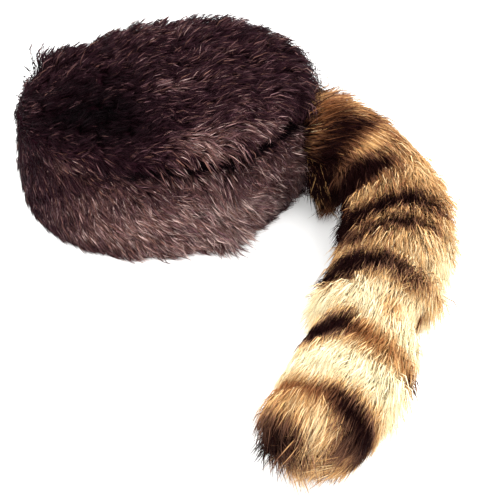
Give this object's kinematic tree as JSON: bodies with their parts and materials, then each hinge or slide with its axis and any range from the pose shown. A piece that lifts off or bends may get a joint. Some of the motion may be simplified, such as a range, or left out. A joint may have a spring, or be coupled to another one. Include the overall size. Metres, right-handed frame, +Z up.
{
  "type": "coonskin cap",
  "caption": "Round fur cap with an upright oval band, a puffed oval top panel and a long ringed bushy tail sewn on at the back, lying beside it.",
  "frame": {"origin": "middle of the head opening, in the plane of the rim that the cap stands on", "axes": "+Z up through the top panel, -X the front of the cap, +X the back, where the tail is sewn on; the tail lies towards -Y"},
  "size_m": [0.3138, 0.4058, 0.1102],
  "materials": {
    "top_fur": "short dark brown fur, almost black, with fine lighter hair tips",
    "band_fur": "short brown fur with a grey and reddish cast",
    "tail_fur": "long guard hair, ringed in cream, gold, brown and black"
  },
  "bodies": {
    "root": {"top_panel": "top_fur", "side_band": "band_fur", "tail": "tail_fur"}
  },
  "joints": []
}
